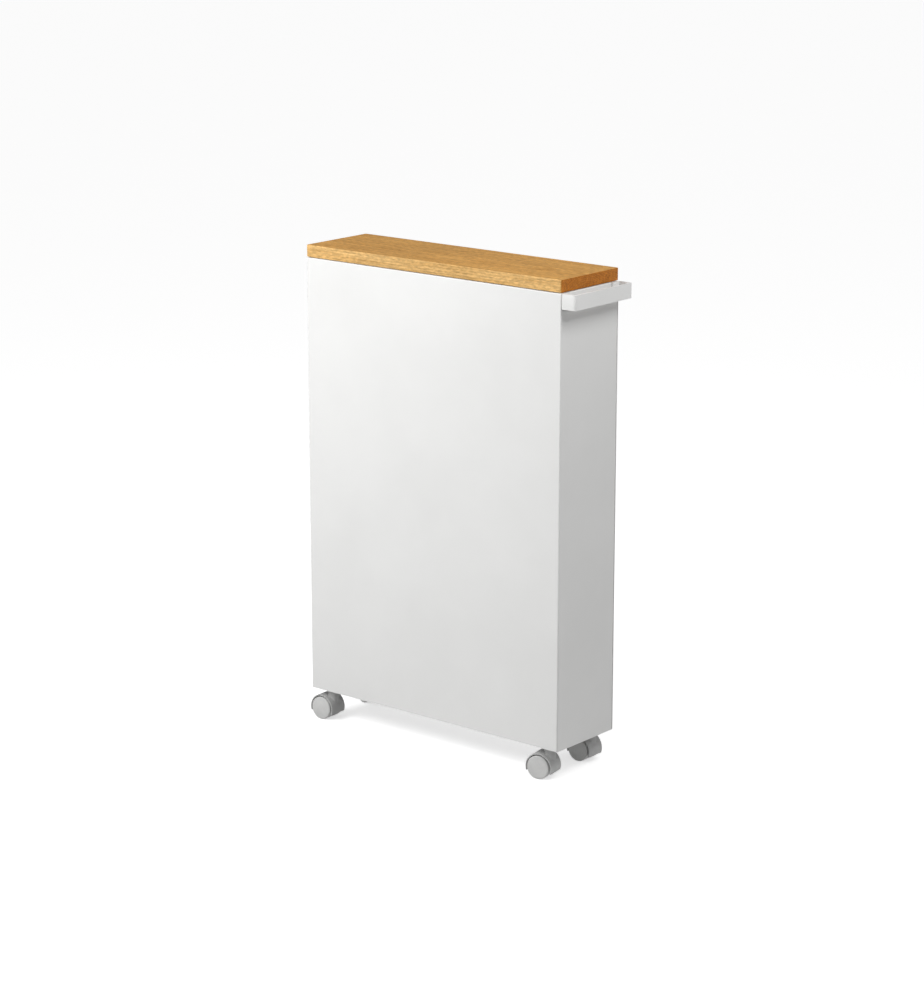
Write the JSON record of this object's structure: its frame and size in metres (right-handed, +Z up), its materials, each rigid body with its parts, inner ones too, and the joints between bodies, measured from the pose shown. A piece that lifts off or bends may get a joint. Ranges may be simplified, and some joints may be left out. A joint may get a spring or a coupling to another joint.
{
  "type": "laundry sorter on wheels",
  "caption": "Slim sheet-steel laundry cart with a hinged wooden lid, bags hanging side by side inside, a flat-bar pull handle and swivelling twin-wheel casters.",
  "frame": {"origin": "on the floor, below the middle of the overall box, casters, handle and hinges included", "axes": "+X towards the end that carries the pull handle, +Y towards the back with the hinges, +Z up; the plain front panel faces -Y"},
  "size_m": [0.514, 0.1436, 0.744],
  "materials": {
    "white_powder_coat": "satin white powder coat on sheet steel",
    "white_wire": "white coated steel wire",
    "oak_board": "oiled light oak",
    "zinc_steel": "zinc plated",
    "caster_plastic": "light grey nylon",
    "cotton_canvas": "undyed cotton canvas",
    "clear_rubber": "translucent rubber"
  },
  "bodies": {
    "cabinet": {"wrap_panel": "white_powder_coat", "back_panel": "white_powder_coat", "base_pan": "white_powder_coat", "divider_panel": "white_powder_coat", "bag_rail_front": "white_powder_coat", "bag_rail_back": "white_powder_coat", "bag_frame_left": "white_wire", "laundry_bag_left": "cotton_canvas", "bag_frame_right": "white_wire", "laundry_bag_right": "cotton_canvas", "handle_band": "white_powder_coat", "handle_screw_front": "zinc_steel", "handle_nut_front": "zinc_steel", "handle_screw_back": "zinc_steel", "handle_nut_back": "zinc_steel", "hinge_body_leaf_left": "zinc_steel", "hinge_pin_left": "zinc_steel", "hinge_body_screw_1": "zinc_steel", "hinge_body_screw_2": "zinc_steel", "hinge_body_leaf_right": "zinc_steel", "hinge_pin_right": "zinc_steel", "hinge_body_screw_5": "zinc_steel", "hinge_body_screw_6": "zinc_steel", "caster_stem_front_right": "zinc_steel", "caster_stem_front_left": "zinc_steel", "caster_stem_back_right": "zinc_steel", "caster_stem_back_left": "zinc_steel", "caster_nut_front_right": "zinc_steel", "caster_nut_front_left": "zinc_steel", "caster_nut_back_right": "zinc_steel", "caster_nut_back_left": "zinc_steel"},
    "lid": {"lid_board": "oak_board", "lid_bumper_front_left": "clear_rubber", "lid_bumper_front_right": "clear_rubber", "lid_bumper_back_left": "clear_rubber", "lid_bumper_back_right": "clear_rubber", "hinge_lid_leaf_left": "zinc_steel", "hinge_lid_screw_3": "zinc_steel", "hinge_lid_screw_4": "zinc_steel", "hinge_lid_leaf_right": "zinc_steel", "hinge_lid_screw_7": "zinc_steel", "hinge_lid_screw_8": "zinc_steel"},
    "caster_front_right": {"caster_hood_front_right": "caster_plastic", "caster_axle_front_right": "zinc_steel"},
    "wheel_front_front_right": {"caster_wheel_front_front_right": "caster_plastic"},
    "wheel_back_front_right": {"caster_wheel_back_front_right": "caster_plastic"},
    "caster_front_left": {"caster_hood_front_left": "caster_plastic", "caster_axle_front_left": "zinc_steel"},
    "wheel_front_front_left": {"caster_wheel_front_front_left": "caster_plastic"},
    "wheel_back_front_left": {"caster_wheel_back_front_left": "caster_plastic"},
    "caster_back_right": {"caster_hood_back_right": "caster_plastic", "caster_axle_back_right": "zinc_steel"},
    "wheel_front_back_right": {"caster_wheel_front_back_right": "caster_plastic"},
    "wheel_back_back_right": {"caster_wheel_back_back_right": "caster_plastic"},
    "caster_back_left": {"caster_hood_back_left": "caster_plastic", "caster_axle_back_left": "zinc_steel"},
    "wheel_front_back_left": {"caster_wheel_front_back_left": "caster_plastic"},
    "wheel_back_back_left": {"caster_wheel_back_back_left": "caster_plastic"}
  },
  "joints": [
    {"name": "lid_hinge", "type": "hinge", "parent": "cabinet", "child": "lid", "pos_m": [-0.00796, 0.06875, 0.7255], "axis": [-1, 0, 0], "range_deg": [0, 105]},
    {"name": "caster_swivel_front_right", "type": "hinge", "parent": "cabinet", "child": "caster_front_right", "pos_m": [0.20503, -0.05105, 0.044], "axis": [0, 0, 1], "continuous": true},
    {"name": "wheel_spin_front_front_right", "type": "hinge", "parent": "caster_front_right", "child": "wheel_front_front_right", "pos_m": [0.19271, -0.05311, 0.018], "axis": [-0.165, 0.9863, 0], "continuous": true},
    {"name": "wheel_spin_back_front_right", "type": "hinge", "parent": "caster_front_right", "child": "wheel_back_front_right", "pos_m": [0.19271, -0.05311, 0.018], "axis": [-0.165, 0.9863, 0], "continuous": true},
    {"name": "caster_swivel_front_left", "type": "hinge", "parent": "cabinet", "child": "caster_front_left", "pos_m": [-0.22096, -0.05105, 0.044], "axis": [0, 0, 1], "continuous": true},
    {"name": "wheel_spin_front_front_left", "type": "hinge", "parent": "caster_front_left", "child": "wheel_front_front_left", "pos_m": [-0.23346, -0.05149, 0.018], "axis": [-0.0349, 0.9994, 0], "continuous": true},
    {"name": "wheel_spin_back_front_left", "type": "hinge", "parent": "caster_front_left", "child": "wheel_back_front_left", "pos_m": [-0.23346, -0.05149, 0.018], "axis": [-0.0349, 0.9994, 0], "continuous": true},
    {"name": "caster_swivel_back_right", "type": "hinge", "parent": "cabinet", "child": "caster_back_right", "pos_m": [0.20503, 0.04695, 0.044], "axis": [0, 0, 1], "continuous": true},
    {"name": "wheel_spin_front_back_right", "type": "hinge", "parent": "caster_back_right", "child": "wheel_front_back_right", "pos_m": [0.19254, 0.04728, 0.018], "axis": [0.0262, 0.9997, 0], "continuous": true},
    {"name": "wheel_spin_back_back_right", "type": "hinge", "parent": "caster_back_right", "child": "wheel_back_back_right", "pos_m": [0.19254, 0.04728, 0.018], "axis": [0.0262, 0.9997, 0], "continuous": true},
    {"name": "caster_swivel_back_left", "type": "hinge", "parent": "cabinet", "child": "caster_back_left", "pos_m": [-0.22096, 0.04695, 0.044], "axis": [0, 0, 1], "continuous": true},
    {"name": "wheel_spin_front_back_left", "type": "hinge", "parent": "caster_back_left", "child": "wheel_front_back_left", "pos_m": [-0.23292, 0.0506, 0.018], "axis": [0.2924, 0.9563, 0], "continuous": true},
    {"name": "wheel_spin_back_back_left", "type": "hinge", "parent": "caster_back_left", "child": "wheel_back_back_left", "pos_m": [-0.23292, 0.0506, 0.018], "axis": [0.2924, 0.9563, 0], "continuous": true}
  ]
}
